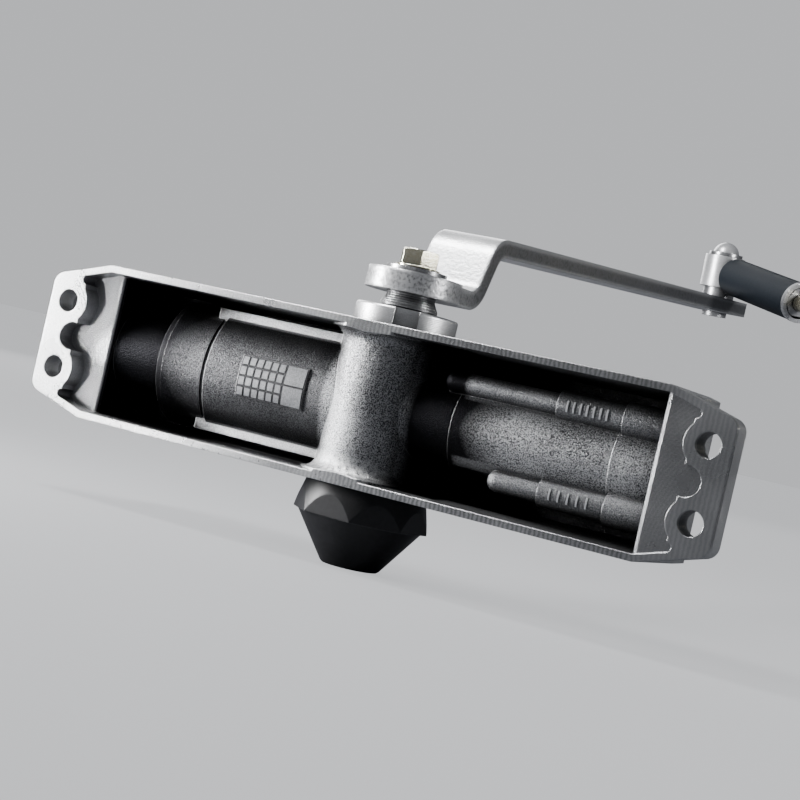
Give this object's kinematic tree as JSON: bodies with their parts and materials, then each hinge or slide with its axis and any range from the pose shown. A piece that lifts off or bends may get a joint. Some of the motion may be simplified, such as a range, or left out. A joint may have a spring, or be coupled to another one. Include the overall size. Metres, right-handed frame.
{
  "type": "surface-mounted door closer",
  "caption": "Surface-mounted rack-and-pinion door closer with an open-backed die-cast body, a cranked main arm, a screw-adjusted forearm and its frame bracket.",
  "frame": {"origin": "centre of the four mounting holes, on the body's back plane that rests on the door", "axes": "+X along the body to the valve end, +Y from the back plane out through the front, +Z along the pinion towards the arm"},
  "size_m": [0.3144, 0.2641, 0.1325],
  "materials": {
    "cast_aluminium": "blasted die-cast",
    "machined_aluminium": "turned",
    "steel": "machined",
    "zinc_steel": "bright zinc",
    "yellow_zinc": "yellow zinc",
    "spring_steel": "oil-tempered",
    "painted_arm": "silver paint",
    "dark_sleeve": "dark satin",
    "dark_plastic": "moulded",
    "rubber": "matt",
    "brass": "turned"
  },
  "bodies": {
    "closer_body": {"housing": "cast_aluminium", "end_plug_left": "machined_aluminium", "end_plug_right": "machined_aluminium", "plug_rings": "rubber", "bearing_top": "steel", "bearing_bottom": "steel", "seal_top": "rubber", "seal_bottom": "rubber", "cap_top": "machined_aluminium", "cap_bottom": "machined_aluminium", "spindle_cap": "dark_plastic"},
    "pinion_arm": {"pinion": "steel", "dust_collar": "zinc_steel", "main_arm": "painted_arm", "arm_washer": "zinc_steel", "arm_bolt": "yellow_zinc", "elbow_collar": "zinc_steel", "elbow_pin": "zinc_steel", "elbow_washer": "zinc_steel"},
    "piston_set": {"piston": "steel", "piston_rings": "rubber", "check_ball": "steel", "check_retainer": "brass", "main_spring": "spring_steel"},
    "closing_valve_set": {"closing_valve": "zinc_steel", "closing_ring": "rubber"},
    "latch_valve_set": {"latch_valve": "zinc_steel", "latch_ring": "rubber"},
    "forearm": {"knuckle_socket": "zinc_steel", "sleeve": "dark_sleeve", "sleeve_ring": "zinc_steel", "jam_nut": "zinc_steel"},
    "rod_set": {"rod": "yellow_zinc"},
    "bracket_set": {"bracket": "painted_arm", "bracket_pin": "zinc_steel", "bracket_washer": "zinc_steel"}
  },
  "joints": [
    {"name": "pinion_turn", "type": "hinge", "parent": "closer_body", "child": "pinion_arm", "pos_m": [0, 0.02, 0], "axis": [0, 0, 1], "range_deg": [0, 160], "stiffness_Nm_per_rad": 6},
    {"name": "piston_slide", "type": "slide", "parent": "closer_body", "child": "piston_set", "axis": [1, 0, 0], "range_m": [-0.0162, 0], "deforming": ["main_spring"]},
    {"name": "closing_valve_turn", "type": "hinge", "parent": "closer_body", "child": "closing_valve_set", "pos_m": [0.0865, 0.0112, 0.0112], "axis": [1, 0, 0], "range_deg": [-180, 180]},
    {"name": "latch_valve_turn", "type": "hinge", "parent": "closer_body", "child": "latch_valve_set", "pos_m": [0.0865, 0.0112, -0.0112], "axis": [1, 0, 0], "range_deg": [-180, 180]},
    {"name": "elbow_turn", "type": "hinge", "parent": "pinion_arm", "child": "forearm", "pos_m": [0.0102, 0.2537, 0.07751], "axis": [-0.003, -0.068, 0.9977], "range_deg": [-15, 125]},
    {"name": "rod_adjust", "type": "slide", "parent": "forearm", "child": "rod_set", "axis": [0.7463, -0.6425, -0.1741], "range_m": [-0.012, 0.012]},
    {"name": "bracket_turn", "type": "hinge", "parent": "rod_set", "child": "bracket_set", "pos_m": [0.18931, 0.0995, 0.03573], "axis": [0, 0, 1], "range_deg": [-65, 75]}
  ],
  "couplings": [
    {"joint": "piston_slide", "follows": "pinion_turn", "m_per_rad": -0.005625}
  ]
}
